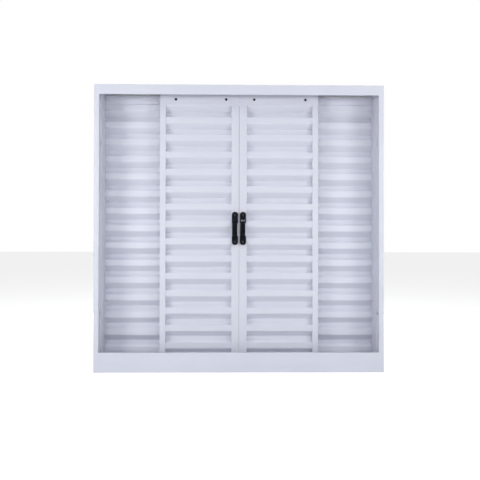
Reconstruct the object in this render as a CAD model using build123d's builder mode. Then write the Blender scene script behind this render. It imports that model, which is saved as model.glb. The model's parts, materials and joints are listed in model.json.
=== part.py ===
"""A louvred shutter window: two fixed louvred leaves at the sides and two that slide outwards over them.

Millimetres, Z up, X to the right, the room side towards -Y. The origin is the middle of the underside.
A depth is a distance behind the room-side face of the frame.
"""

import math
import os

from build123d import *

os.makedirs("parts", exist_ok=True)

# ---- Frame ----
FRAME_WIDTH = 1000.0
FRAME_HEIGHT = 992.0
FRAME_DEPTH = 120.0
HALF_WIDTH = FRAME_WIDTH / 2
FRONT = -FRAME_DEPTH / 2
BACK = FRAME_DEPTH / 2
WALL = 1.5
FIN = 2.0
JAMB_FACE = 17.0
JAMB_INNER = HALF_WIDTH - JAMB_FACE
JAMB_BOX_DEPTH = 86.0
JAMB_RIB_DEPTH = 35.0
JAMB_RIB = 4.0
HEAD_FACE = 34.0
HEAD_FOOT = FRAME_HEIGHT - HEAD_FACE
HEAD_LIP = 6.0
HEAD_FIN_FOOT = HEAD_FOOT + 14.0
SILL_FACE = 68.5
SILL_LEDGE = 11.0
SILL_BACK_LIP = 10.0
GROOVE_HEIGHT = 20.0
GROOVE_WIDTH = 1.2
GROOVE_DEPTH = 0.7
DRAIN_XS = (-300.0, 0.0, 300.0)
DRAIN_WIDTH = 30.0
DRAIN_FOOT = 1.8
DRAIN_TOP = 7.0

# ---- Tracks in the sill, as depths, and their heights ----
EMPTY_TRACK = FRONT + 29.0
MIDDLE_FIN = FRONT + 49.0
SLIDING_TRACK = FRONT + 68.5
REAR_FIN = FRONT + 85.0
BEAD_RADIUS = 2.5
TRACK_TOP = 21.7
MIDDLE_FIN_TOP = TRACK_TOP - 4.0
LEAF_FOOT = 24.0
RIB_FOOT = LEAF_FOOT + 2.0

# ---- Screws, the ports that they cut their threads in, and their holes ----
SCREW_RADIUS = 1.85
SCREW_HEAD = 3.8
SCREW_HEAD_DEEP = 2.4
SCREW_LENGTH = 22.0
SMALL_SCREW = 1.5
SMALL_SCREW_HEAD = 2.8
SMALL_SCREW_HEAD_DEEP = 1.6
SMALL_SCREW_LENGTH = 15.0
HOLE_CLEARANCE = 0.35
SEAT_CLEARANCE = 0.1
PORT_RADIUS = 4.0
SILL_PORT_RADIUS = 4.2
HEAD_PORTS = [(FRONT + 10, FRAME_HEIGHT - 7.5), (FRONT + 40, FRAME_HEIGHT - 7.5)]
SILL_PORTS = [(FRONT + SILL_LEDGE / 2, 40.0), (FRONT + 40, 5.2)]
WALL_FIXING_Y = FRONT + 24.0
WALL_FIXING_HEIGHTS = (200.0, 792.0)
WALL_FIXING_RADIUS = 3.25
ACCESS_RADIUS = 6.0
REAR_SCREW_HEIGHTS = (150.0, 496.0, 842.0)
REAR_SCREW_X = JAMB_INNER + 10.0
REAR_SHANK = 4.9

# ---- Leaves ----
LEAF_DEPTH = 25.0
SLIDING_FRONT = FRONT + 56.0
FIXED_FRONT = FRONT + 90.0
SEAM = 1.2
SLIDING_EDGE = 281.0
TRAVEL = 198.0
FIXED_INNER = 257.0
FIXED_OUTER = 497.0
OUTER_STILE = 20.5
MEETING_STILE = 27.0
FIXED_STILE = 25.0
POCKET_STILE = FIXED_OUTER - JAMB_INNER
GROOVE = 6.0
SLIDING_HEAD = 982.0
SLIDING_RAIL_FOOT = 940.0
FIXED_HEAD = 985.0
FIXED_RAIL_FOOT = 947.0
SKIRT = 6.0
BOTTOM_RAIL_TOP = 48.0
BOTTOM_RAIL_INSET = 1.6
CHAMBER_FLOOR = 40.0
BOTTOM_PORT_HEIGHT = 44.0
BOTTOM_PORT_RADIUS = 2.6
BOTTOM_SCREW_OFFSETS = (-7.0, 0.0)

# ---- Louvre blades and the combs that hold their ends ----
BLADES = 15
SHEET = 1.2
LIP_SET = 2.3
LIP = 21.0
WEB_BACK = 18.0
WEB_DROP = 19.5
LEG = 15.5
FOOT_DROP = 10.5
FOOT_FORWARD = 6.5
BEND = 7.0
SLIDING_PITCH = 61.5
SLIDING_FIRST_TOP = 954.5
FIXED_PITCH = 62.3
FIXED_FIRST_TOP = 945.6
BLADE_GAP = 0.8
SKIRT_GAP = 0.6
COMB_THICKNESS = 5.0
COMB_SET = 0.5
COMB_SLIT = SHEET + 0.1

# ---- Seals and bumpers ----
SEAL_GAP = 0.4
SEAL_BASE = 8.0
SEAL_PILE = 5.0
SEAL_FOOT = LEAF_FOOT + 4.0
SEAL_TOP = 968.0
HEAD_SEAL_FOOT = 973.0
HEAD_SEAL_BASE = 7.0
HEAD_SEAL_PILE = 3.0
HEAD_SEAL_THICKNESS = 1.0
HEAD_SEAL_END = 3.0
MEETING_SEAL_DEPTH = 14.0
MEETING_SEAL_WIDTH = 6.0
MEETING_SEAL_END = 2.0
BUMPER_HEIGHTS = (42.0, 900.0)
BUMPER_LENGTH = 24.0
BUMPER_WIDTH = 12.0

# ---- Rollers ----
ROLLER_RADIUS = 7.0
FLANGE_RADIUS = 8.5
ROLLER_WIDTH = 10.0
FLANGE = 2.0
AXLE_RADIUS = 2.0
AXLE_CLEARANCE = 0.05
ROLLER_HEIGHT = TRACK_TOP + 0.3 + ROLLER_RADIUS
ROLLER_FROM_EDGE = 45.0
ROLLER_FROM_SEAM = 50.0
CHEEK = 3.0
HOUSING_LENGTH = 28.0
HOUSING_FOOT = LEAF_FOOT + 1.0
HOUSING_ROOF = 2.0

# ---- Guide shoes in the top rails, from each leaf's left and right edges, and their screws ----
LEFT_SHOE_INSETS = (56.0, 46.0)
RIGHT_SHOE_INSETS = (52.5, 46.0)
SHOE_LENGTH = 28.0
SHOE_HEIGHT = 6.0
SHOE_NECK_LENGTH = 20.0
SHOE_NECK_INSET = 6.0
SHOE_BLOCK_LENGTH = 24.0
SHOE_CLEARANCE = 0.5
GUIDE_SCREW_HEIGHT = 955.5
GUIDE_SCREW_HEAD = 4.4
GUIDE_SCREW_HEAD_DEEP = 1.6
GUIDE_SCREW_LENGTH = 12.0
GUIDE_SCREW_CROSS = (4.6, 1.0, 0.9)

# ---- Handles ----
LEFT_HANDLE_X = -14.7
RIGHT_HANDLE_X = 13.5
HANDLE_MIDDLE = 497.5
HANDLE_LENGTH = 117.0
HANDLE_WIDTH = 22.0
HANDLE_SCREW_SPACING = HANDLE_LENGTH - HANDLE_WIDTH
PLATE = 3.0
NECK = 5.5
BOSS = 8.0
WAIST_LEFT = 10.0
WAIST_RIGHT = 8.0
GRIP_WIDTH = 10.5
GRIP_FOOT = 471.0
GRIP_TOP = 517.0
GRIP_REACH = 20.0
GRIP_THICKNESS = 6.0
GRIP_CORNER = 5.0
HANDLE_SCREW_HEAD = 4.4
HANDLE_SCREW_HEAD_DEEP = 2.4
HANDLE_SCREW_SET = 0.6
HANDLE_SCREW_LENGTH = 12.0
HANDLE_SCREW_CROSS = (5.0, 1.1, 1.2)
VENT_LEFT = 7.8
VENT_BELOW = 2.4
VENT_RADIUS = 2.2
VENT_DEEP = 4.5

# ---- Latch ----
PIVOT_X = 12.0
PIVOT_HEIGHT = 500.0
PIVOT_RADIUS = 1.3
PIVOT_CAP_RADIUS = 2.0
PIVOT_CAP = 0.5
PIVOT_PLAY = 0.2
PIVOT_HOLD = 6.0
HOOK_PLATE_Y = 1.0
HOOK_THICKNESS = 3.0
HOOK_BACK = HOOK_PLATE_Y + HOOK_THICKNESS
HOOK_INNER = 15.6
HOOK_OUTER = 18.8
HOOK_HUB = 6.0
HOOK_ARM = 5.0
HOOK_TURN = 68.0
HOOK_REST = 60.0
HOOK_SPREAD = 28.0
NOTCH_START = 2.1
NOTCH_LENGTH = 5.0
NOTCH_WIDTH = 2.4
HOOK_PORT_CLEARANCE = 0.6
RIGHT_PORT = (PIVOT_HEIGHT + 0.4, PIVOT_HEIGHT + 16.6)
LEFT_PORT = (PIVOT_HEIGHT + 1.2, PIVOT_HEIGHT + 14.8)
BODY_GAP = 0.4
BODY_THICKNESS = 6.5
BODY_FOOT = PIVOT_HEIGHT - 14.0
BODY_TOP = PIVOT_HEIGHT + 22.0
KEEPER_THICKNESS = 1.2
KEEPER_FOOT = PIVOT_HEIGHT - 12.0
KEEPER_TOP = PIVOT_HEIGHT + 26.0
KEEPER_MARGIN = 3.3
SLIDER_TRAVEL = 4.5
DRIVE_PIN_RADIUS = 0.9
DRIVE_PIN_X = PIVOT_X + SLIDER_TRAVEL / 2 / math.tan(math.radians(HOOK_TURN / 2))
WINDOW_FOOT = 517.5
WINDOW_HEIGHT = 11.0
WINDOW_WIDTH = 15.0
WINDOW_RIM = 1.5
WINDOW_RIM_DEEP = 2.0
PAD_HEIGHT = 5.3
PAD_CLEARANCE = 0.35
STEM = 4.0
STEM_FOOT = WINDOW_FOOT + 1.05
STEM_SLOT = 5.2
STEM_SLOT_INSET = 0.5
TAIL_LEFT = 1.0
TAIL_RIGHT = 4.0
TAIL_GAP = 0.8


# ---------------------------------------------------------------- helpers


def save(piece, name):
    """Label one finished piece and write it."""
    piece.part.label = name
    export_step(piece.part, f"parts/{name}.step")


def facing_room(y):
    """The upright plane at this Y, seen from the room: sketch X is X and sketch Y is Z."""
    return Plane.XZ.offset(-y)


def bar(u0, u1, v0, v1, mode=Mode.ADD):
    """A rectangle between two corners, in the current sketch."""
    with Locations(((u0 + u1) / 2, (v0 + v1) / 2)):
        Rectangle(abs(u1 - u0), abs(v1 - v0), mode=mode)


def ring(u, v, outer, inner):
    """A screw port, in the current sketch: a tube wall that a screw cuts its thread in."""
    with Locations((u, v)):
        Circle(outer)
        Circle(inner, mode=Mode.SUBTRACT)


def box(x0, x1, y0, y1, z0, z1, mode=Mode.ADD):
    """A box between two corners, in the current part."""
    with Locations(((x0 + x1) / 2, (y0 + y1) / 2, (z0 + z1) / 2)):
        Box(abs(x1 - x0), abs(y1 - y0), abs(z1 - z0), mode=mode)


def cut_box(*corners):
    """Cut a box between two corners out of the current part."""
    box(*corners, mode=Mode.SUBTRACT)


def bore(x, y, z, radius, axis, length=4 * WALL):
    """Cut a round hole through the current part, centred on a point and running along an axis."""
    turned = {"X": (0, 90, 0), "Y": (90, 0, 0), "Z": (0, 0, 0)}[axis]
    with Locations(Location((x, y, z), turned)):
        Cylinder(radius, length, mode=Mode.SUBTRACT)


def rod(x, z, y0, y1, radius):
    """Add a round bar along Y, between two values of Y, to the current part."""
    with Locations(Location((x, (y0 + y1) / 2, z), (90, 0, 0))):
        Cylinder(radius, abs(y1 - y0))


def cut_cross(x, z, face, cross):
    """Cut a cross slot, given as its (length, width, depth), into a screw head that faces the room."""
    length, width, deep = cross
    cut_box(x - length / 2, x + length / 2, face, face + deep, z - width / 2, z + width / 2)
    cut_box(x - width / 2, x + width / 2, face, face + deep, z - length / 2, z + length / 2)


# ---------------------------------------------------------------- frame


def make_jamb(side, name):
    """One upright of the frame: a hollow box in front and an open pocket behind for the fixed leaf."""
    outer = side * HALF_WIDTH
    inner = side * JAMB_INNER
    box_back = FRONT + JAMB_BOX_DEPTH
    rib = FRONT + JAMB_RIB_DEPTH
    with BuildPart() as jamb:
        with BuildSketch(Plane.XY):
            bar(outer, outer - side * WALL, FRONT, BACK)
            bar(outer, inner, FRONT, FRONT + WALL)
            bar(inner, inner + side * WALL, FRONT, box_back)
            bar(outer, inner, box_back - WALL, box_back)
            bar(outer, inner, BACK - WALL, BACK)
        extrude(amount=FRAME_HEIGHT)
        with BuildSketch(Plane.XY.offset(RIB_FOOT)):
            bar(inner, inner - side * JAMB_RIB / 2, rib - JAMB_RIB / 2, rib + JAMB_RIB / 2)
        extrude(amount=HEAD_FOOT - 1.0 - RIB_FOOT)
        for height in WALL_FIXING_HEIGHTS:
            bore(outer, WALL_FIXING_Y, height, WALL_FIXING_RADIUS, "X")
            bore(inner, WALL_FIXING_Y, height, ACCESS_RADIUS, "X")
        for y, z in HEAD_PORTS + SILL_PORTS:
            bore(outer, y, z, SCREW_HEAD + HOLE_CLEARANCE, "X")
            bore(inner, y, z, SCREW_RADIUS + HOLE_CLEARANCE, "X")
        for height in REAR_SCREW_HEIGHTS:
            with BuildSketch(facing_room(BACK)):
                with Locations((side * REAR_SCREW_X, height)):
                    Circle(SCREW_HEAD)
            with BuildSketch(facing_room(BACK - WALL)):
                with Locations((side * REAR_SCREW_X, height)):
                    Circle(SCREW_RADIUS + SEAT_CLEARANCE)
            loft(mode=Mode.SUBTRACT)
    save(jamb, name)


def make_head_track():
    """The top of the frame, between the jambs: an upside-down channel with two guide fins."""
    with BuildPart() as head:
        with BuildSketch(Plane.YZ.offset(-JAMB_INNER)):
            bar(FRONT, FRONT + WALL, HEAD_FOOT, FRAME_HEIGHT)
            bar(FRONT, BACK, FRAME_HEIGHT - WALL, FRAME_HEIGHT)
            bar(BACK - WALL, BACK, HEAD_FOOT, FRAME_HEIGHT)
            bar(FRONT, FRONT + HEAD_LIP, HEAD_FOOT, HEAD_FOOT + WALL)
            for fin in (MIDDLE_FIN, REAR_FIN):
                bar(fin - FIN / 2, fin + FIN / 2, HEAD_FIN_FOOT, FRAME_HEIGHT)
            for y, z in HEAD_PORTS:
                bar(y - FIN / 2, y + FIN / 2, z, FRAME_HEIGHT)
                ring(y, z, PORT_RADIUS, SCREW_RADIUS)
        extrude(amount=2 * JAMB_INNER)
    save(head, "head_track")


def make_sill_track():
    """The bottom of the frame: a hollow upstand, two beaded rails and a raised seat for the fixed leaves."""
    ledge_back = FRONT + SILL_LEDGE
    seat_front = REAR_FIN - FIN / 2
    with BuildPart() as sill:
        with BuildSketch(Plane.YZ.offset(-JAMB_INNER)):
            bar(FRONT, BACK, 0, WALL)
            bar(FRONT, FRONT + WALL, 0, SILL_FACE)
            bar(FRONT, ledge_back, SILL_FACE - WALL, SILL_FACE)
            bar(ledge_back - WALL, ledge_back, 0, SILL_FACE)
            bar(MIDDLE_FIN - FIN / 2, MIDDLE_FIN + FIN / 2, 0, MIDDLE_FIN_TOP)
            for rail in (EMPTY_TRACK, SLIDING_TRACK):
                bar(rail - FIN / 2, rail + FIN / 2, 0, TRACK_TOP - BEAD_RADIUS)
                with Locations((rail, TRACK_TOP - BEAD_RADIUS)):
                    Circle(BEAD_RADIUS)
            bar(seat_front, seat_front + FIN, 0, LEAF_FOOT)
            bar(seat_front, BACK, LEAF_FOOT - WALL, LEAF_FOOT)
            bar(BACK - WALL, BACK, 0, LEAF_FOOT + SILL_BACK_LIP)
            bar(FRONT, FRONT + GROOVE_DEPTH, GROOVE_HEIGHT - GROOVE_WIDTH / 2,
                GROOVE_HEIGHT + GROOVE_WIDTH / 2, mode=Mode.SUBTRACT)
            for y, z in SILL_PORTS:
                ring(y, z, SILL_PORT_RADIUS, SCREW_RADIUS)
        extrude(amount=2 * JAMB_INNER)
        for x in DRAIN_XS:
            cut_box(x - DRAIN_WIDTH / 2, x + DRAIN_WIDTH / 2, EMPTY_TRACK - 2 * BEAD_RADIUS, BACK + 1.0,
                    DRAIN_FOOT, DRAIN_TOP)
    save(sill, "sill_track")


def make_frame_corner_screws():
    """Two screws at each corner, through the inner wall of the jamb into the ports of the head and sill."""
    with BuildPart() as screws:
        for side in (-1, 1):
            seat = side * (JAMB_INNER + WALL)
            for y, z in HEAD_PORTS + SILL_PORTS:
                with BuildSketch(Plane.YZ.offset(seat)):
                    with Locations((y, z)):
                        Circle(SCREW_HEAD)
                extrude(amount=side * SCREW_HEAD_DEEP)
                with BuildSketch(Plane.YZ.offset(seat)):
                    with Locations((y, z)):
                        Circle(SCREW_RADIUS)
                extrude(amount=-side * SCREW_LENGTH)
    save(screws, "frame_corner_screws")


def make_jamb_bumpers():
    """Soft white stops on the jambs, two a side, that the sliding leaves meet when they are fully open."""
    thickness = JAMB_INNER - (SLIDING_EDGE + TRAVEL) - SEAL_GAP
    with BuildPart() as bumpers:
        for side in (-1, 1):
            for height in BUMPER_HEIGHTS:
                with BuildSketch(Plane.YZ.offset(side * JAMB_INNER)):
                    with Locations((SLIDING_FRONT + LEAF_DEPTH / 2, height)):
                        SlotOverall(BUMPER_LENGTH, BUMPER_WIDTH, rotation=90)
                extrude(amount=-side * thickness)
    save(bumpers, "jamb_bumpers")


def make_head_brush_seal():
    """A pile strip on the rear fin of the head that brushes the back of the sliding leaves."""
    fin_face = REAR_FIN - FIN / 2
    pile_tip = SLIDING_FRONT + LEAF_DEPTH + SEAL_GAP
    pile_foot = HEAD_SEAL_FOOT + (HEAD_SEAL_BASE - HEAD_SEAL_PILE) / 2
    with BuildPart() as seal:
        with BuildSketch(Plane.YZ.offset(HEAD_SEAL_END - JAMB_INNER)):
            bar(fin_face - HEAD_SEAL_THICKNESS, fin_face, HEAD_SEAL_FOOT, HEAD_SEAL_FOOT + HEAD_SEAL_BASE)
            bar(pile_tip, fin_face, pile_foot, pile_foot + HEAD_SEAL_PILE)
        extrude(amount=2 * (JAMB_INNER - HEAD_SEAL_END))
    save(seal, "head_brush_seal")


# ---------------------------------------------------------------- leaves


def blade_tops(first, pitch):
    """Heights of the top edges of one leaf's blades, from the top one down."""
    return [first - pitch * number for number in range(BLADES)]


def blade_line(lip_y, top, highest):
    """Centre line of one blade: upright lip, web sloping back and down, upright leg, foot turned forward."""
    lowest = BOTTOM_RAIL_TOP + BLADE_GAP
    web_top = top - LIP
    leg_top = web_top - WEB_DROP
    leg_foot = leg_top - LEG
    leg_y = lip_y + WEB_BACK
    points = [(lip_y, min(top, highest)), (lip_y, web_top)]
    if leg_foot - FOOT_DROP > lowest:
        return points + [(leg_y, leg_top), (leg_y, leg_foot), (leg_y - FOOT_FORWARD, leg_foot - FOOT_DROP)]
    if leg_top - lowest > BEND / 2:
        return points + [(leg_y, leg_top), (leg_y, lowest)]
    return points + [(lip_y + WEB_BACK * (web_top - lowest) / WEB_DROP, lowest)]


def make_louvres(name, x0, x1, front, first, pitch, highest):
    """The blades of one leaf, each bent from one strip of sheet."""
    with BuildPart() as louvres:
        for top in blade_tops(first, pitch):
            with BuildSketch(Plane.YZ.offset(min(x0, x1))):
                with BuildLine():
                    FilletPolyline(*blade_line(front + LIP_SET, top, highest), radius=BEND)
                trace(line_width=SHEET)
            extrude(amount=abs(x1 - x0))
    save(louvres, name)


def make_combs(name, spans, front, first, pitch, highest):
    """Two notched strips, one in each stile's groove, that hold the blades' ends."""
    comb_back = front + LEAF_DEPTH - WALL - BLADE_GAP
    with BuildPart() as combs:
        for x0, x1 in spans:
            with BuildSketch(Plane.YZ.offset(min(x0, x1))):
                bar(front + LIP_SET, comb_back, BOTTOM_RAIL_TOP + BLADE_GAP / 4, highest)
                for top in blade_tops(first, pitch):
                    with BuildLine():
                        FilletPolyline(*blade_line(front + LIP_SET, top, highest + BEND), radius=BEND)
                    trace(line_width=COMB_SLIT, mode=Mode.SUBTRACT)
            extrude(amount=abs(x1 - x0))
    save(combs, name)


def port_centre(edge, toward, width):
    """X of a stile's screw port, from its outer edge, the way to the louvres and its width."""
    return edge + toward * (width - GROOVE) / 2


def port_radius(width):
    """Outer radius of a stile's screw port, which in the narrow stile meets both walls."""
    return min(PORT_RADIUS, (width - GROOVE) / 2 - WALL + 0.2)


def port_y(front):
    """Y of a leaf's upright screw ports, near the back wall."""
    return front + LEAF_DEPTH - WALL - PORT_RADIUS + 0.2


def bottom_screw_ys(front):
    """Y of the two small screws at each end of a leaf's bottom rail."""
    return [front + LEAF_DEPTH / 2 + offset for offset in BOTTOM_SCREW_OFFSETS]


def make_stile(name, edge, toward, width, front, rail_foot, extra_cuts=None):
    """One upright of a leaf: a closed tube with a screw port, and a groove towards the louvres."""
    back = front + LEAF_DEPTH
    groove_floor = edge + toward * (width - GROOVE)
    louvre_side = edge + toward * width
    port = (port_centre(edge, toward, width), port_y(front))
    with BuildPart() as stile:
        with BuildSketch(Plane.XY.offset(LEAF_FOOT)):
            bar(edge, louvre_side, front, back)
            bar(edge + toward * WALL, groove_floor - toward * WALL, front + WALL, back - WALL,
                mode=Mode.SUBTRACT)
            bar(groove_floor, louvre_side, front + WALL, back - WALL, mode=Mode.SUBTRACT)
            ring(*port, port_radius(width), SCREW_RADIUS)
        extrude(amount=rail_foot - LEAF_FOOT)
        with BuildSketch(Plane.XY.offset(rail_foot)):
            ring(*port, port_radius(width) - SEAL_GAP, SCREW_RADIUS)
        extrude(amount=SKIRT)
        for y in bottom_screw_ys(front):
            bore(groove_floor, y, BOTTOM_PORT_HEIGHT, SMALL_SCREW + HOLE_CLEARANCE, "X")
            bore(edge, y, BOTTOM_PORT_HEIGHT, SMALL_SCREW_HEAD + HOLE_CLEARANCE, "X")
        if extra_cuts:
            extra_cuts()
    save(stile, name)


def make_top_rail(name, x0, x1, front, foot, head, ports, shoe_xs=()):
    """The top member of a leaf: a tube over the stiles, with a short skirt front and back."""
    back = front + LEAF_DEPTH
    half_neck = SHOE_NECK_LENGTH / 2 + PAD_CLEARANCE
    neck_front = front + SHOE_NECK_INSET - PAD_CLEARANCE
    neck_back = back - SHOE_NECK_INSET + PAD_CLEARANCE
    with BuildPart() as rail:
        with BuildSketch(Plane.YZ.offset(min(x0, x1))):
            bar(front, back, foot, head)
            bar(front + WALL, back - WALL, foot, foot + SKIRT, mode=Mode.SUBTRACT)
            bar(front + WALL, back - WALL, foot + SKIRT + WALL, head - WALL, mode=Mode.SUBTRACT)
        extrude(amount=abs(x1 - x0))
        for x, y in ports:
            bore(x, y, foot + SKIRT, SCREW_RADIUS + HOLE_CLEARANCE, "Z")
            bore(x, y, head, SCREW_HEAD + HOLE_CLEARANCE, "Z")
        for x in shoe_xs:
            cut_box(x - half_neck, x + half_neck, neck_front, neck_back, head - 2 * WALL, head + WALL)
            bore(x, front, GUIDE_SCREW_HEIGHT, SCREW_RADIUS + HOLE_CLEARANCE, "Y")
    save(rail, name)


def make_bottom_rail(name, x0, x1, front):
    """The bottom member of a leaf: a closed chamber with two screw ports over an open channel."""
    y0 = front + BOTTOM_RAIL_INSET
    y1 = front + LEAF_DEPTH - BOTTOM_RAIL_INSET
    with BuildPart() as rail:
        with BuildSketch(Plane.YZ.offset(min(x0, x1))):
            bar(y0, y1, LEAF_FOOT, BOTTOM_RAIL_TOP)
            bar(y0 + WALL, y1 - WALL, LEAF_FOOT, CHAMBER_FLOOR, mode=Mode.SUBTRACT)
            bar(y0 + WALL, y1 - WALL, CHAMBER_FLOOR + WALL, BOTTOM_RAIL_TOP - WALL, mode=Mode.SUBTRACT)
            for y in bottom_screw_ys(front):
                ring(y, BOTTOM_PORT_HEIGHT, BOTTOM_PORT_RADIUS, SMALL_SCREW)
        extrude(amount=abs(x1 - x0))
    save(rail, name)


def add_upright_screw(x, y, seat):
    """A pan-head screw, head down to the seat height and shank below, in the current part."""
    with Locations((x, y, seat + SCREW_HEAD_DEEP / 2)):
        Cylinder(SCREW_HEAD, SCREW_HEAD_DEEP)
    with Locations((x, y, seat - SCREW_LENGTH / 2)):
        Cylinder(SCREW_RADIUS, SCREW_LENGTH)


def add_level_screw(x, y, z, toward):
    """A small screw along X whose head bears at x and whose shank runs the way of toward."""
    with Locations(Location((x - toward * SMALL_SCREW_HEAD_DEEP / 2, y, z), (0, 90, 0))):
        Cylinder(SMALL_SCREW_HEAD, SMALL_SCREW_HEAD_DEEP)
    with Locations(Location((x + toward * SMALL_SCREW_LENGTH / 2, y, z), (0, 90, 0))):
        Cylinder(SMALL_SCREW, SMALL_SCREW_LENGTH)


def corner_screws(stiles, front, rail_foot):
    """The screws of one leaf's corners, in the current part, from its (edge, toward, width) stiles."""
    for edge, toward, width in stiles:
        seat = rail_foot + SKIRT + WALL
        add_upright_screw(port_centre(edge, toward, width), port_y(front), seat)
        for y in bottom_screw_ys(front):
            add_level_screw(edge + toward * (width - GROOVE - WALL), y, BOTTOM_PORT_HEIGHT, toward)


def blade_span(stiles):
    """X of both ends of a leaf's blades, which reach through the combs."""
    return [edge + toward * (width - COMB_THICKNESS - COMB_SET) for edge, toward, width in stiles]


def comb_spans(stiles):
    """X of both faces of a leaf's two combs."""
    return [
        (edge + toward * (width - COMB_THICKNESS - COMB_SET), edge + toward * (width - COMB_SET))
        for edge, toward, width in stiles
    ]


def groove_floors(stiles):
    """X of both ends of a leaf's bottom rail, which reaches to the grooves' floors."""
    return [edge + toward * (width - GROOVE) for edge, toward, width in stiles]


def make_leaf_infill(name, stiles, front, first, pitch, rail_foot):
    """What a leaf's stiles hold: its bottom rail, its blades and the combs at their ends."""
    highest = rail_foot + SKIRT - SKIRT_GAP
    make_bottom_rail(f"{name}_bottom_rail", *groove_floors(stiles), front)
    make_louvres(f"{name}_louvres", *blade_span(stiles), front, first, pitch, highest)
    make_combs(f"{name}_combs", comb_spans(stiles), front, first, pitch, highest)


def make_fixed_leaf(side, name):
    """A leaf that stays put: its outer stile stands in the jamb's pocket, its feet on the sill's seat."""
    stiles = [(side * FIXED_INNER, side, FIXED_STILE), (side * FIXED_OUTER, -side, POCKET_STILE)]
    ports = [(port_centre(*stile), port_y(FIXED_FRONT)) for stile in stiles]
    seal_middle = side * (FIXED_INNER + FIXED_STILE / 2)
    pile_tip = SLIDING_FRONT + LEAF_DEPTH + SEAL_GAP

    def rear_screw_holes():
        for height in REAR_SCREW_HEIGHTS:
            bore(side * REAR_SCREW_X, FIXED_FRONT + LEAF_DEPTH, height, SCREW_RADIUS, "Y")

    make_stile(f"{name}_inner_stile", *stiles[0], FIXED_FRONT, FIXED_RAIL_FOOT)
    make_stile(f"{name}_outer_stile", *stiles[1], FIXED_FRONT, FIXED_RAIL_FOOT, rear_screw_holes)
    make_top_rail(f"{name}_top_rail", stiles[0][0], stiles[1][0], FIXED_FRONT, FIXED_RAIL_FOOT,
                  FIXED_HEAD, ports)
    make_leaf_infill(name, stiles, FIXED_FRONT, FIXED_FIRST_TOP, FIXED_PITCH, FIXED_RAIL_FOOT)
    with BuildPart() as seal:
        with BuildSketch(Plane.XY.offset(SEAL_FOOT)):
            bar(seal_middle - SEAL_BASE / 2, seal_middle + SEAL_BASE / 2, FIXED_FRONT - WALL, FIXED_FRONT)
            bar(seal_middle - SEAL_PILE / 2, seal_middle + SEAL_PILE / 2, pile_tip, FIXED_FRONT)
        extrude(amount=SEAL_TOP - SEAL_FOOT)
    save(seal, f"{name}_brush_seal")
    return stiles


def make_sliding_leaf(side, name, shoe_insets, latch_cuts):
    """A leaf that rolls on the middle rail of the sill, guided by nylon shoes in the head."""
    meeting_edge = side * SEAM / 2
    stiles = [(side * SLIDING_EDGE, -side, OUTER_STILE), (meeting_edge, side, MEETING_STILE)]
    ports = [(port_centre(*stile), port_y(SLIDING_FRONT)) for stile in stiles]
    left_edge, right_edge = sorted((side * SLIDING_EDGE, meeting_edge))
    shoe_xs = [left_edge + shoe_insets[0], right_edge - shoe_insets[1]]
    make_stile(f"{name}_outer_stile", *stiles[0], SLIDING_FRONT, SLIDING_RAIL_FOOT)
    make_stile(f"{name}_meeting_stile", *stiles[1], SLIDING_FRONT, SLIDING_RAIL_FOOT, latch_cuts)
    make_top_rail(f"{name}_top_rail", stiles[0][0], stiles[1][0], SLIDING_FRONT, SLIDING_RAIL_FOOT,
                  SLIDING_HEAD, ports, shoe_xs)
    make_leaf_infill(name, stiles, SLIDING_FRONT, SLIDING_FIRST_TOP, SLIDING_PITCH, SLIDING_RAIL_FOOT)
    with BuildPart() as screws:
        corner_screws(stiles, SLIDING_FRONT, SLIDING_RAIL_FOOT)
    save(screws, f"{name}_corner_screws")
    make_rollers(name, [side * (SLIDING_EDGE - ROLLER_FROM_EDGE), side * ROLLER_FROM_SEAM])
    make_guides(name, shoe_xs)


def make_rollers(name, centres):
    """The two nylon wheels under a leaf, their steel axles and the housings that carry them."""
    mid = SLIDING_TRACK
    half = LEAF_DEPTH / 2 - BOTTOM_RAIL_INSET - WALL - SEAT_CLEARANCE
    wheel = ROLLER_WIDTH / 2
    bore_top = ROLLER_HEIGHT + AXLE_RADIUS + AXLE_CLEARANCE
    flange_top = ROLLER_HEIGHT + FLANGE_RADIUS
    tread_top = ROLLER_HEIGHT + ROLLER_RADIUS
    with BuildPart() as housings:
        for x in centres:
            box(x - HOUSING_LENGTH / 2, x + HOUSING_LENGTH / 2, mid - half, mid + half,
                HOUSING_FOOT, CHAMBER_FLOOR)
            cut_box(x - HOUSING_LENGTH, x + HOUSING_LENGTH, mid - half + CHEEK, mid + half - CHEEK,
                    LEAF_FOOT, CHAMBER_FLOOR - HOUSING_ROOF)
            bore(x, mid, ROLLER_HEIGHT, AXLE_RADIUS, "Y", LEAF_DEPTH)
    save(housings, f"{name}_roller_housings")
    with BuildPart() as axles:
        for x in centres:
            rod(x, ROLLER_HEIGHT, mid - half, mid + half, AXLE_RADIUS)
    save(axles, f"{name}_roller_axles")
    for place, x in zip(("outer", "inner"), centres):
        with BuildPart() as roller:
            with BuildSketch(Plane.YZ.offset(x)):
                with BuildLine():
                    Polyline(
                        (mid - wheel, bore_top),
                        (mid - wheel, flange_top),
                        (mid - wheel + FLANGE, flange_top),
                        (mid - wheel + FLANGE, tread_top),
                        (mid + wheel - FLANGE, tread_top),
                        (mid + wheel - FLANGE, flange_top),
                        (mid + wheel, flange_top),
                        (mid + wheel, bore_top),
                        close=True,
                    )
                make_face()
            revolve(axis=Axis((x, 0, ROLLER_HEIGHT), (0, 1, 0)))
        save(roller, f"{name}_{place}_roller")


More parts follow.
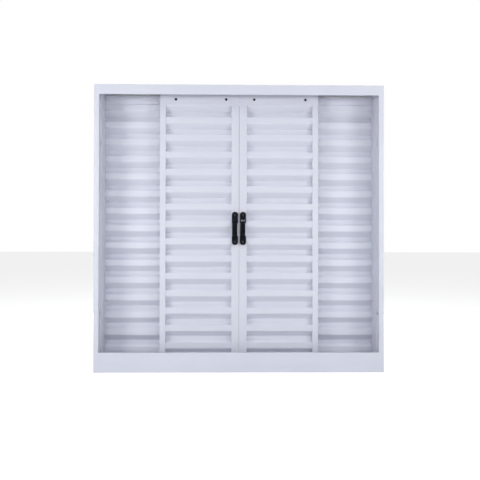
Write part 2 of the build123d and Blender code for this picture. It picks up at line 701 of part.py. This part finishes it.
def make_guides(name, shoe_xs):
    """Nylon shoes that slide between the head's fins, each held by a screw through the top rail."""
    front = SLIDING_FRONT
    back = SLIDING_FRONT + LEAF_DEPTH
    block = SHOE_BLOCK_LENGTH / 2
    neck = SHOE_NECK_LENGTH / 2
    shoe = SHOE_LENGTH / 2
    inside = SLIDING_HEAD - WALL
    head_face = front - GUIDE_SCREW_HEAD_DEEP
    with BuildPart() as shoes:
        for x in shoe_xs:
            box(x - block, x + block, front + WALL + SEAT_CLEARANCE, back - WALL - SEAT_CLEARANCE,
                SLIDING_RAIL_FOOT + SKIRT + WALL, inside)
            box(x - neck, x + neck, front + SHOE_NECK_INSET, back - SHOE_NECK_INSET, inside, SLIDING_HEAD)
            box(x - shoe, x + shoe, MIDDLE_FIN + FIN / 2 + SHOE_CLEARANCE,
                REAR_FIN - FIN / 2 - SHOE_CLEARANCE, SLIDING_HEAD, SLIDING_HEAD + SHOE_HEIGHT)
            bore(x, front, GUIDE_SCREW_HEIGHT, SCREW_RADIUS, "Y", 2 * GUIDE_SCREW_LENGTH + FIN)
    save(shoes, f"{name}_guide_shoes")
    with BuildPart() as screws:
        for x in shoe_xs:
            rod(x, GUIDE_SCREW_HEIGHT, head_face, front, GUIDE_SCREW_HEAD)
            rod(x, GUIDE_SCREW_HEIGHT, front, front + GUIDE_SCREW_LENGTH, SCREW_RADIUS)
            cut_cross(x, GUIDE_SCREW_HEIGHT, head_face, GUIDE_SCREW_CROSS)
    save(screws, f"{name}_guide_screws")


# ---------------------------------------------------------------- handles and latch


def handle_ends():
    """Heights of a handle's two screws."""
    return [HANDLE_MIDDLE + end * HANDLE_SCREW_SPACING / 2 for end in (-1, 1)]


def make_handle(name, x, window):
    """A pull handle: a waisted plate, a screw boss at each end and a raised grip nearer its left edge."""
    leaf = SLIDING_FRONT
    low, high = handle_ends()
    radius = HANDLE_WIDTH / 2
    grip_front = leaf - GRIP_REACH
    boss_face = leaf - BOSS
    head_seat = boss_face + HANDLE_SCREW_SET + HANDLE_SCREW_HEAD_DEEP
    with BuildPart() as handle:
        with BuildSketch(facing_room(leaf)):
            bar(x - WAIST_LEFT, x + WAIST_RIGHT, low, high)
        extrude(amount=PLATE)
        with BuildSketch(facing_room(leaf)):
            bar(x - radius, x + radius, low, GRIP_FOOT)
            bar(x - radius, x + radius, GRIP_TOP, high)
        extrude(amount=NECK)
        with BuildSketch(facing_room(leaf)):
            with Locations((x, low), (x, high)):
                Circle(radius)
        extrude(amount=BOSS)
        with BuildSketch(Plane.YZ.offset(x - WAIST_LEFT)):
            bar(grip_front, leaf - PLATE, GRIP_FOOT, GRIP_TOP)
            fillet(vertices().group_by(Axis.X)[0], GRIP_CORNER)
            bar(grip_front + GRIP_THICKNESS, leaf - PLATE, GRIP_FOOT + GRIP_THICKNESS,
                GRIP_TOP - GRIP_THICKNESS, mode=Mode.SUBTRACT)
        extrude(amount=GRIP_WIDTH)
        for end in (low, high):
            bore(x, boss_face, end, HANDLE_SCREW_HEAD + 2 * SEAT_CLEARANCE, "Y", 2 * (head_seat - boss_face))
            bore(x, leaf - BOSS / 2, end, SCREW_RADIUS + SEAT_CLEARANCE, "Y", 2 * BOSS)
        if window:
            cut_handle_window(x)
    save(handle, name)
    with BuildPart() as screws:
        for end in (low, high):
            rod(x, end, head_seat - HANDLE_SCREW_HEAD_DEEP, head_seat, HANDLE_SCREW_HEAD)
            rod(x, end, head_seat, head_seat + HANDLE_SCREW_LENGTH, SCREW_RADIUS)
            cut_cross(x, end, head_seat - HANDLE_SCREW_HEAD_DEEP, HANDLE_SCREW_CROSS)
    save(screws, f"{name}_screws")


def cut_handle_window(x):
    """Cut the slider's window, the sunk rim round it and a small vent below the grip."""
    leaf = SLIDING_FRONT
    half = WINDOW_WIDTH / 2
    window_top = WINDOW_FOOT + WINDOW_HEIGHT
    cut_box(x - half, x + half, leaf - BOSS, leaf + 1.0, WINDOW_FOOT, window_top)
    cut_box(x - half - WINDOW_RIM, x + half + WINDOW_RIM, leaf - NECK, leaf - NECK + WINDOW_RIM_DEEP,
            WINDOW_FOOT, window_top + WINDOW_RIM / 2)
    bore(x - VENT_LEFT, leaf - NECK, GRIP_FOOT - VENT_BELOW, VENT_RADIUS, "Y", 2 * VENT_DEEP)


def handle_screw_holes(x):
    """Cut the holes for one handle's screws in the current stile."""
    for height in handle_ends():
        bore(x, SLIDING_FRONT, height, SCREW_RADIUS, "Y")


def hook_port(x0, x1, heights):
    """Cut a hook's way through an upright wall between two values of X, in the current part."""
    cut_box(x0, x1, HOOK_PLATE_Y - HOOK_PORT_CLEARANCE, HOOK_BACK + HOOK_PORT_CLEARANCE, *heights)


def right_stile_latch_cuts():
    """Cut the right meeting stile for its handle, the slider's stem and the hook's way out."""
    handle_screw_holes(RIGHT_HANDLE_X)
    cut_box(DRIVE_PIN_X - STEM_SLOT / 2, DRIVE_PIN_X + STEM_SLOT / 2, SLIDING_FRONT - 1.0,
            SLIDING_FRONT + WALL + 1.0, WINDOW_FOOT + STEM_SLOT_INSET,
            WINDOW_FOOT + WINDOW_HEIGHT - STEM_SLOT_INSET)
    hook_port(0.0, SEAM / 2 + WALL + 0.1, RIGHT_PORT)


def left_stile_latch_cuts():
    """Cut the left meeting stile for its handle and for the hook's way in."""
    handle_screw_holes(LEFT_HANDLE_X)
    hook_port(-SEAM / 2 - WALL - 0.1, 0.0, LEFT_PORT)


def from_pivot(radius, above_left):
    """The X and Z of a point at this radius and this angle above the way to the left stile."""
    angle = math.radians(above_left)
    return PIVOT_X - radius * math.cos(angle), PIVOT_HEIGHT + radius * math.sin(angle)


def make_latch_hook():
    """The hook: a hub with a notch for the slider's pin, an arm, and a beak round the pivot."""
    arm = HOOK_REST + HOOK_SPREAD
    middle = HOOK_REST + HOOK_SPREAD / 2
    arm_length = HOOK_OUTER - 1.0
    notch_angle = -HOOK_TURN / 2
    notch_middle = from_pivot(NOTCH_START + NOTCH_LENGTH / 2, 180.0 - notch_angle)
    outer_points = [from_pivot(HOOK_OUTER, turn) for turn in (arm, middle, HOOK_REST)]
    inner_points = [from_pivot(HOOK_INNER, turn) for turn in (arm, middle, HOOK_REST)]
    with BuildPart() as hook:
        with BuildSketch(facing_room(HOOK_BACK)):
            with Locations((PIVOT_X, PIVOT_HEIGHT)):
                Circle(HOOK_HUB)
            with BuildLine():
                outer_arc = ThreePointArc(*outer_points)
                inner_arc = ThreePointArc(*inner_points)
                Line(outer_arc @ 0, inner_arc @ 0)
                Line(outer_arc @ 1, inner_arc @ 1)
            make_face()
            with Locations(Location((*from_pivot(arm_length / 2, arm), 0), 180.0 - arm)):
                Rectangle(arm_length, HOOK_ARM)
            with Locations(Location((*notch_middle, 0), notch_angle)):
                Rectangle(NOTCH_LENGTH, NOTCH_WIDTH, mode=Mode.SUBTRACT)
            with Locations((PIVOT_X, PIVOT_HEIGHT)):
                Circle(PIVOT_RADIUS + AXLE_CLEARANCE, mode=Mode.SUBTRACT)
        extrude(amount=HOOK_THICKNESS)
    save(hook, "latch_hook")


def make_latch_body():
    """The nylon block inside the right meeting stile that holds the pivot, and the pivot itself."""
    inside_left = SEAM / 2 + WALL + SEAT_CLEARANCE
    inside_right = SEAM / 2 + MEETING_STILE - GROOVE - WALL - SEAT_CLEARANCE
    body_front = HOOK_BACK + BODY_GAP
    cap_back = HOOK_PLATE_Y - PIVOT_PLAY
    with BuildPart() as body:
        box(inside_left, inside_right, body_front, body_front + BODY_THICKNESS, BODY_FOOT, BODY_TOP)
        bore(PIVOT_X, body_front, PIVOT_HEIGHT, PIVOT_RADIUS, "Y", 2 * BODY_THICKNESS)
    save(body, "latch_body")
    with BuildPart() as pivot:
        rod(PIVOT_X, PIVOT_HEIGHT, cap_back, HOOK_BACK + PIVOT_HOLD, PIVOT_RADIUS)
        rod(PIVOT_X, PIVOT_HEIGHT, cap_back - PIVOT_CAP, cap_back, PIVOT_CAP_RADIUS)
    save(pivot, "latch_pivot")


def make_latch_slider():
    """The thumb slider: a pad in the handle's window, a stem through the stile and a tail with a pin."""
    pad_left = RIGHT_HANDLE_X - WINDOW_WIDTH / 2 + PAD_CLEARANCE
    pad_right = RIGHT_HANDLE_X + WINDOW_WIDTH / 2 - PAD_CLEARANCE
    pad_foot = WINDOW_FOOT + PAD_CLEARANCE
    pad_back = SLIDING_FRONT - BODY_GAP
    stem_back = SLIDING_FRONT + WALL + BODY_GAP
    stem_top = STEM_FOOT + STEM
    tail_back = HOOK_PLATE_Y - TAIL_GAP
    pin_height = PIVOT_HEIGHT - SLIDER_TRAVEL / 2
    with BuildPart() as slider:
        box(pad_left, pad_right, SLIDING_FRONT - NECK, pad_back, pad_foot, pad_foot + PAD_HEIGHT)
        box(DRIVE_PIN_X - STEM / 2, DRIVE_PIN_X + STEM / 2, pad_back, stem_back, STEM_FOOT, stem_top)
        box(DRIVE_PIN_X - TAIL_LEFT, DRIVE_PIN_X + TAIL_RIGHT, stem_back, tail_back,
            pin_height - STEM / 2, stem_top)
        rod(DRIVE_PIN_X, pin_height, tail_back, HOOK_BACK, DRIVE_PIN_RADIUS)
    save(slider, "latch_slider")


def make_latch_keeper():
    """The steel plate behind the edge of the left meeting stile that the hook grips."""
    edge = -SEAM / 2 - WALL
    with BuildPart() as keeper:
        box(edge - KEEPER_THICKNESS, edge, HOOK_PLATE_Y - KEEPER_MARGIN, HOOK_BACK + KEEPER_MARGIN,
            KEEPER_FOOT, KEEPER_TOP)
        hook_port(edge - 2 * KEEPER_THICKNESS, edge + 1.0, LEFT_PORT)
    save(keeper, "latch_keeper")


def make_meeting_seal():
    """A soft strip on the left meeting stile's edge that the right leaf closes against."""
    front = SLIDING_FRONT + MEETING_SEAL_DEPTH
    foot = LEAF_FOOT + MEETING_SEAL_END
    with BuildPart() as seal:
        with BuildSketch(Plane.XY.offset(foot)):
            bar(-SEAM / 2, SEAM / 2 - SEAL_GAP, front, front + MEETING_SEAL_WIDTH)
        extrude(amount=SLIDING_RAIL_FOOT - MEETING_SEAL_END - foot)
    save(seal, "meeting_seal")


def make_fixed_leaf_screws(stiles):
    """The fixed leaves' corner screws, and the countersunk ones that hold them from behind."""
    with BuildPart() as corners:
        corner_screws(stiles, FIXED_FRONT, FIXED_RAIL_FOOT)
    save(corners, "fixed_corner_screws")
    with BuildPart() as rear_screws:
        for x in (-REAR_SCREW_X, REAR_SCREW_X):
            for height in REAR_SCREW_HEIGHTS:
                with BuildSketch(facing_room(BACK)):
                    with Locations((x, height)):
                        Circle(SCREW_HEAD - SEAT_CLEARANCE / 2)
                with BuildSketch(facing_room(BACK - WALL)):
                    with Locations((x, height)):
                        Circle(SCREW_RADIUS)
                loft()
                rod(x, height, BACK - WALL - REAR_SHANK, BACK - WALL, SCREW_RADIUS)
    save(rear_screws, "fixed_rear_screws")


def main():
    """Make every piece and write it."""
    make_jamb(-1, "left_jamb")
    make_jamb(1, "right_jamb")
    make_head_track()
    make_sill_track()
    make_frame_corner_screws()
    make_jamb_bumpers()
    make_head_brush_seal()
    fixed_stiles = make_fixed_leaf(-1, "left_fixed") + make_fixed_leaf(1, "right_fixed")
    make_fixed_leaf_screws(fixed_stiles)
    make_sliding_leaf(-1, "left_leaf", LEFT_SHOE_INSETS, left_stile_latch_cuts)
    make_sliding_leaf(1, "right_leaf", RIGHT_SHOE_INSETS, right_stile_latch_cuts)
    make_handle("left_handle", LEFT_HANDLE_X, window=False)
    make_handle("right_handle", RIGHT_HANDLE_X, window=True)
    make_latch_hook()
    make_latch_body()
    make_latch_slider()
    make_latch_keeper()
    make_meeting_seal()


main()
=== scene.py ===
"""Looks for the louvred shutter window: materials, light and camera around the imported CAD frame."""

import json
import math

import bmesh
import bpy
from mathutils import Matrix, Vector


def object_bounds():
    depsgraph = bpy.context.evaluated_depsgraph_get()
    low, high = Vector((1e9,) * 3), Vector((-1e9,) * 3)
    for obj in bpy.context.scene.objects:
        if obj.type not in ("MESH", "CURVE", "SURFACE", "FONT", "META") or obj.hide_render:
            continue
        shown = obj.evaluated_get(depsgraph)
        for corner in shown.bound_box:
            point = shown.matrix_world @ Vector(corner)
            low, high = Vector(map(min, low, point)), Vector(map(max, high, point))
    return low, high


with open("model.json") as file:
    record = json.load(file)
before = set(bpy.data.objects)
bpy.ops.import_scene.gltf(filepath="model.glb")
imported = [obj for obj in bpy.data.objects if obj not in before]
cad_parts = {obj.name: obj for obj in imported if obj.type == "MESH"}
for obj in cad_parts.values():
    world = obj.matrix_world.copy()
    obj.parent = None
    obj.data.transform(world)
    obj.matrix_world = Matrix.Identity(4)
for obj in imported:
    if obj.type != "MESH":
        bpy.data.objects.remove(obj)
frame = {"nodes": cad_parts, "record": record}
cad_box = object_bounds()

NODES = frame["nodes"]
FRONT_PLANE = cad_box[0][1]
MM = 0.001


# ---------------------------------------------------------------- node helpers


class Shader:
    """A material's node tree, with short calls to add nodes and join them."""

    def __init__(self, name):
        self.material = bpy.data.materials.new(name)
        self.material.use_nodes = True
        self.tree = self.material.node_tree
        self.surface = self.tree.nodes["Principled BSDF"]

    def node(self, kind, inputs=None, **settings):
        made = self.tree.nodes.new(kind)
        for key, value in settings.items():
            setattr(made, key, value)
        for key, value in (inputs or {}).items():
            self.put(made.inputs[key], value)
        return made

    def put(self, socket, value):
        """Set a socket to a number or colour, or join it to another node's output."""
        if isinstance(value, bpy.types.NodeSocket):
            self.tree.links.new(value, socket)
        else:
            socket.default_value = value

    def place(self, stretch=(1, 1, 1)):
        """The piece's own coordinates in metres, stretched along each axis."""
        where = self.node("ShaderNodeTexCoord").outputs["Object"]
        return self.node("ShaderNodeMapping", {"Vector": where, "Scale": stretch}).outputs["Vector"]

    def noise(self, scale, detail=3.0, roughness=0.5, stretch=(1, 1, 1)):
        return self.node(
            "ShaderNodeTexNoise",
            {"Vector": self.place(stretch), "Scale": scale, "Detail": detail, "Roughness": roughness},
        ).outputs["Fac"]

    def remap(self, value, low, high, to_low, to_high):
        return self.node(
            "ShaderNodeMapRange",
            {"Value": value, "From Min": low, "From Max": high, "To Min": to_low, "To Max": to_high},
        ).outputs["Result"]

    def math(self, operation, a, b):
        return self.node("ShaderNodeMath", {0: a, 1: b}, operation=operation).outputs[0]

    def mix(self, share, a, b):
        made = self.node("ShaderNodeMix", data_type="RGBA")
        self.put(made.inputs["Factor"], share)
        self.put(made.inputs["A"], a)
        self.put(made.inputs["B"], b)
        return made.outputs["Result"]

    def bump(self, height, distance, strength=1.0, after=None):
        inputs = {"Height": height, "Distance": distance, "Strength": strength}
        if after:
            inputs["Normal"] = after
        return self.node("ShaderNodeBump", inputs).outputs["Normal"]

    def edges(self, radius):
        """1 on edges and corners, 0 on flats: how far a rounded normal turns from the true one."""
        rounded = self.node("ShaderNodeBevel", {"Radius": radius}, samples=4).outputs["Normal"]
        true = self.node("ShaderNodeNewGeometry").outputs["Normal"]
        compare = self.node("ShaderNodeVectorMath", {0: rounded, 1: true}, operation="DOT_PRODUCT")
        return self.remap(compare.outputs["Value"], 0.99, 0.75, 0.0, 1.0)

    def finish(self, **sockets):
        for key, value in sockets.items():
            self.put(self.surface.inputs[key.replace("_", " ")], value)
        return self.material


def rgb(red, green, blue):
    return (red, green, blue, 1.0)


# ---------------------------------------------------------------- materials


def powder_coat(name, colour, shade, gloss):
    """White powder coat on aluminium: a fine orange peel, slow random changes of tone, and edges painted
    lighter, partly as rubbed paint and partly as a painted highlight.
    """
    shader = Shader(name)
    drift = shader.noise(6.0, 4.0, 0.55)
    speck = shader.noise(900.0, 2.0)
    tone = shader.mix(shader.remap(drift, 0.35, 0.65, 0.0, 1.0), colour, shade)
    dust = shader.remap(speck, 0.62, 0.78, 0.0, 0.12)
    tone = shader.mix(dust, tone, rgb(0.62, 0.61, 0.60))
    edge = shader.edges(0.8 * MM)
    # Edges turn lighter: partly rubbed paint, partly a painted highlight along every edge.
    tone = shader.mix(shader.math("MULTIPLY", edge, 0.25), tone, rgb(0.92, 0.92, 0.95))
    peel = shader.noise(420.0, 2.0, 0.45)
    coarse = shader.noise(35.0, 2.0, 0.5, (1, 1, 0.2))
    normal = shader.bump(peel, 0.05 * MM, 0.5)
    normal = shader.bump(coarse, 0.12 * MM, 0.35, normal)
    rough = shader.remap(shader.noise(60.0, 3.0), 0.3, 0.7, gloss - 0.04, gloss + 0.05)
    rough = shader.math("SUBTRACT", rough, shader.math("MULTIPLY", edge, 0.06))
    return shader.finish(Base_Color=tone, Roughness=rough, Normal=normal, IOR=1.48)


def moulded_plastic(name, colour, worn, gloss):
    """Moulded plastic: a fine spark-eroded grain, a little brighter and smoother where hands rub it."""
    shader = Shader(name)
    grain = shader.node(
        "ShaderNodeTexVoronoi", {"Vector": shader.place(), "Scale": 1900.0}, feature="F1"
    ).outputs["Distance"]
    patch = shader.noise(90.0, 4.0, 0.6)
    edge = shader.edges(1.0 * MM)
    rub = shader.math("MULTIPLY", edge, shader.remap(patch, 0.35, 0.65, 0.25, 0.9))
    tone = shader.mix(rub, colour, worn)
    tone = shader.mix(shader.remap(patch, 0.5, 0.8, 0.0, 0.15), tone, worn)
    rough = shader.remap(patch, 0.3, 0.7, gloss - 0.05, gloss + 0.08)
    rough = shader.math("SUBTRACT", rough, shader.math("MULTIPLY", rub, 0.12))
    normal = shader.bump(grain, 0.04 * MM, 0.6)
    return shader.finish(Base_Color=tone, Roughness=rough, Normal=normal, IOR=1.5, Specular_IOR_Level=0.25)


def steel(name, colour, dark, gloss):
    """Plated steel: fine drawn lines, a mottled plate and darker stains."""
    shader = Shader(name)
    lines = shader.noise(700.0, 2.0, 0.5, (1, 1, 0.05))
    spots = shader.noise(160.0, 5.0, 0.65)
    tone = shader.mix(shader.remap(spots, 0.45, 0.75, 0.0, 0.7), colour, dark)
    edge = shader.edges(0.4 * MM)
    tone = shader.mix(shader.math("MULTIPLY", edge, 0.4), tone, rgb(0.75, 0.75, 0.76))
    rough = shader.remap(spots, 0.3, 0.7, gloss, gloss + 0.16)
    normal = shader.bump(lines, 0.02 * MM, 0.5)
    return shader.finish(Base_Color=tone, Roughness=rough, Metallic=1.0, Normal=normal)


def soft_rubber(name, colour):
    """Matt black rubber with a dusty bloom."""
    shader = Shader(name)
    bloom = shader.noise(140.0, 5.0, 0.6)
    tone = shader.mix(shader.remap(bloom, 0.4, 0.75, 0.0, 0.35), colour, rgb(0.11, 0.11, 0.11))
    rough = shader.remap(bloom, 0.3, 0.7, 0.62, 0.85)
    normal = shader.bump(shader.noise(800.0, 3.0), 0.04 * MM, 0.5)
    return shader.finish(Base_Color=tone, Roughness=rough, Normal=normal)


def pile(name, colour):
    """Woven-pile fibre: mixed greys from fibre to fibre and a soft sheen."""
    shader = Shader(name)
    mixed = shader.noise(1500.0, 2.0, 0.6, (1, 1, 0.3))
    tone = shader.mix(shader.remap(mixed, 0.3, 0.7, 0.0, 1.0), colour, rgb(0.58, 0.58, 0.60))
    normal = shader.bump(mixed, 0.1 * MM, 0.7)
    return shader.finish(Base_Color=tone, Roughness=0.9, Normal=normal, Sheen_Weight=0.3)


def floor_paint(name):
    """A plain pale studio floor with a faint mottle, lit up to look nearly as white as the room behind."""
    shader = Shader(name)
    tone = shader.mix(shader.noise(2.0, 3.0), rgb(0.86, 0.86, 0.87), rgb(0.90, 0.90, 0.91))
    normal = shader.bump(shader.noise(60.0, 3.0), 0.3 * MM, 0.3)
    seen = shader.node("ShaderNodeLightPath").outputs["Is Camera Ray"]
    glow = shader.remap(seen, 0.0, 1.0, 0.05, 0.85)
    return shader.finish(
        Base_Color=tone, Roughness=0.85, Normal=normal, Emission_Color=rgb(1, 1, 1), Emission_Strength=glow
    )


FRAME_WHITE = powder_coat("frame_white", rgb(0.745, 0.755, 0.84), rgb(0.725, 0.735, 0.82), 0.36)
# The louvres share the frame's paint. Their white is set a shade lighter and bluer as painted light,
# standing in for light that reaches them from behind.
BLADE_WHITE = powder_coat("blade_white", rgb(0.755, 0.765, 0.85), rgb(0.735, 0.745, 0.83), 0.33)
HANDLE_BLACK = moulded_plastic("handle_black", rgb(0.004, 0.005, 0.009), rgb(0.024, 0.026, 0.036), 0.22)
SLIDER_BLACK = moulded_plastic("slider_black", rgb(0.004, 0.004, 0.008), rgb(0.020, 0.022, 0.030), 0.20)
NYLON = moulded_plastic("nylon_white", rgb(0.70, 0.71, 0.76), rgb(0.78, 0.78, 0.80), 0.45)
ZINC = steel("zinc_plate", rgb(0.58, 0.59, 0.60), rgb(0.36, 0.36, 0.37), 0.28)
BLACK_STEEL = steel("black_steel", rgb(0.045, 0.045, 0.05), rgb(0.02, 0.02, 0.022), 0.32)
RUBBER = soft_rubber("black_rubber", rgb(0.022, 0.022, 0.022))
PILE = pile("grey_pile", rgb(0.42, 0.42, 0.44))

FINISHES = {
    "frame_enamel": FRAME_WHITE,
    "louvre_enamel": BLADE_WHITE,
    "black_plastic": HANDLE_BLACK,
    "black_steel": BLACK_STEEL,
    "zinc_steel": ZINC,
    "nylon": NYLON,
    "grey_pile": PILE,
    "black_rubber": RUBBER,
}


# How wide each piece's softened edges are. Pieces that aren't named here get the small edge.
BEVELS = {
    "left_handle": 1.0 * MM,
    "right_handle": 1.0 * MM,
    "latch_slider": 0.6 * MM,
    "left_jamb": 0.7 * MM,
    "right_jamb": 0.7 * MM,
    "head_track": 0.6 * MM,
    "sill_track": 0.6 * MM,
    "left_leaf_meeting_stile": 0.7 * MM,
    "right_leaf_meeting_stile": 0.7 * MM,
    "left_leaf_top_rail": 0.6 * MM,
    "right_leaf_top_rail": 0.6 * MM,
}
SMALL_EDGE = 0.25 * MM
WELD_DISTANCE = 0.001 * MM
SHARP_ANGLE = math.radians(40)


def dress(name, obj, slot):
    """Give a CAD node its finish, and soften its edges without touching its mesh."""
    material = SLIDER_BLACK if name == "latch_slider" else FINISHES[slot]
    obj.data.materials.clear()
    obj.data.materials.append(material)
    weld = obj.modifiers.new("weld", "WELD")
    weld.merge_threshold = WELD_DISTANCE
    bevel = obj.modifiers.new("softened_edges", "BEVEL")
    bevel.width = BEVELS.get(name, SMALL_EDGE)
    bevel.segments = 2
    bevel.limit_method = "ANGLE"
    bevel.angle_limit = SHARP_ANGLE
    bevel.use_clamp_overlap = True
    bevel.harden_normals = True


for part in frame["record"]["subparts"]:
    dress(part["node"], NODES[part["node"]], part["material_slot"])


# ---------------------------------------------------------------- stage, light and camera


FLOOR_REACH = 30.0
FLOOR_DROP = 0.2 * MM
WINDOW_MIDDLE = Vector((0, 0, 0.5))


def make_floor():
    """A pale floor under the window, wide enough to reach the horizon."""
    mesh = bpy.data.meshes.new("floor")
    made = bmesh.new()
    bmesh.ops.create_grid(made, x_segments=8, y_segments=8, size=FLOOR_REACH)
    made.to_mesh(mesh)
    made.free()
    floor = bpy.data.objects.new("floor", mesh)
    floor.location = (0, 0, -FLOOR_DROP)
    mesh.materials.append(floor_paint("floor_paint"))
    bpy.context.scene.collection.objects.link(floor)


def add_softbox(name, azimuth, height, distance, size, power, colour=(1, 1, 1)):
    """A soft area light at an azimuth round the window, 0 in front of it, looking at its middle."""
    light = bpy.data.lights.new(name, "AREA")
    light.shape = "RECTANGLE"
    light.size, light.size_y = size
    light.energy = power
    light.color = colour
    lamp = bpy.data.objects.new(name, light)
    turn = math.radians(azimuth)
    lamp.location = (distance * math.sin(turn), -distance * math.cos(turn), height)
    lamp.rotation_euler = (WINDOW_MIDDLE - lamp.location).to_track_quat("-Z", "Y").to_euler()
    lamp.visible_camera = False
    bpy.context.scene.collection.objects.link(lamp)


def light_the_room():
    """Soft lights at both sides, in front, overhead and behind, in a dim room that looks white."""
    add_softbox("left", -50, 0.84, 1.8, (0.6, 0.5), 10)
    add_softbox("right", 46, 0.84, 1.8, (0.6, 0.5), 8.3)
    add_softbox("front_left", -17, 0.5, 3, (0.6, 0.9), 7.5, (0.97, 1.00, 1.03))
    add_softbox("front_right", 17, 0.5, 3, (0.6, 0.9), 7.5, (0.97, 1.00, 1.03))
    add_softbox("overhead", 0, 2.4, 2, (1.6, 0.8), 12, (0.97, 1.00, 1.05))
    add_softbox("steep", 0, 3.2, 1, (1.6, 0.8), 10, (0.92, 1.00, 1.12))
    add_softbox("top", 180, 2.6, 0.5, (1.8, 1), 16)
    add_softbox("behind", 180, 0.25, 1.6, (2, 0.4), 10, (0.90, 1.00, 1.10))
    world = bpy.data.worlds.new("studio")
    bpy.context.scene.world = world
    world.use_nodes = True
    tree = world.node_tree
    ambient = tree.nodes["Background"]
    ambient.inputs["Color"].default_value = rgb(1.0, 1.0, 0.92)
    ambient.inputs["Strength"].default_value = 0.03
    seen = tree.nodes.new("ShaderNodeBackground")
    seen.inputs["Color"].default_value = rgb(1, 1, 1)
    seen.inputs["Strength"].default_value = 1.0
    choose = tree.nodes.new("ShaderNodeMixShader")
    path = tree.nodes.new("ShaderNodeLightPath")
    tree.links.new(path.outputs["Is Camera Ray"], choose.inputs[0])
    tree.links.new(ambient.outputs[0], choose.inputs[1])
    tree.links.new(seen.outputs[0], choose.inputs[2])
    tree.links.new(choose.outputs[0], tree.nodes["World Output"].inputs["Surface"])


SENSOR_WIDTH = 36.0
CAMERA_DISTANCE = 1.85
CAMERA_X = -0.0225
CAMERA_HEIGHT = 0.4404
AIM = Vector((0.0025, FRONT_PLANE, 0.4563))
VIEW_WIDTH = 1.6523
ROLL = math.radians(0.1)


def place_camera():
    """The camera stands in front of the window, a little left of and below its middle."""
    data = bpy.data.cameras.new("camera")
    data.sensor_width = SENSOR_WIDTH
    data.lens = SENSOR_WIDTH * CAMERA_DISTANCE / VIEW_WIDTH
    camera = bpy.data.objects.new("camera", data)
    camera.location = (CAMERA_X, FRONT_PLANE - CAMERA_DISTANCE, CAMERA_HEIGHT)
    look = (AIM - camera.location).to_track_quat("-Z", "Y").to_matrix().to_4x4()
    turned = look @ Matrix.Rotation(ROLL, 4, "Z")
    camera.rotation_euler = turned.to_euler()
    bpy.context.scene.collection.objects.link(camera)
    bpy.context.scene.camera = camera


make_floor()
light_the_room()
place_camera()
bpy.context.scene.view_settings.view_transform = "Standard"
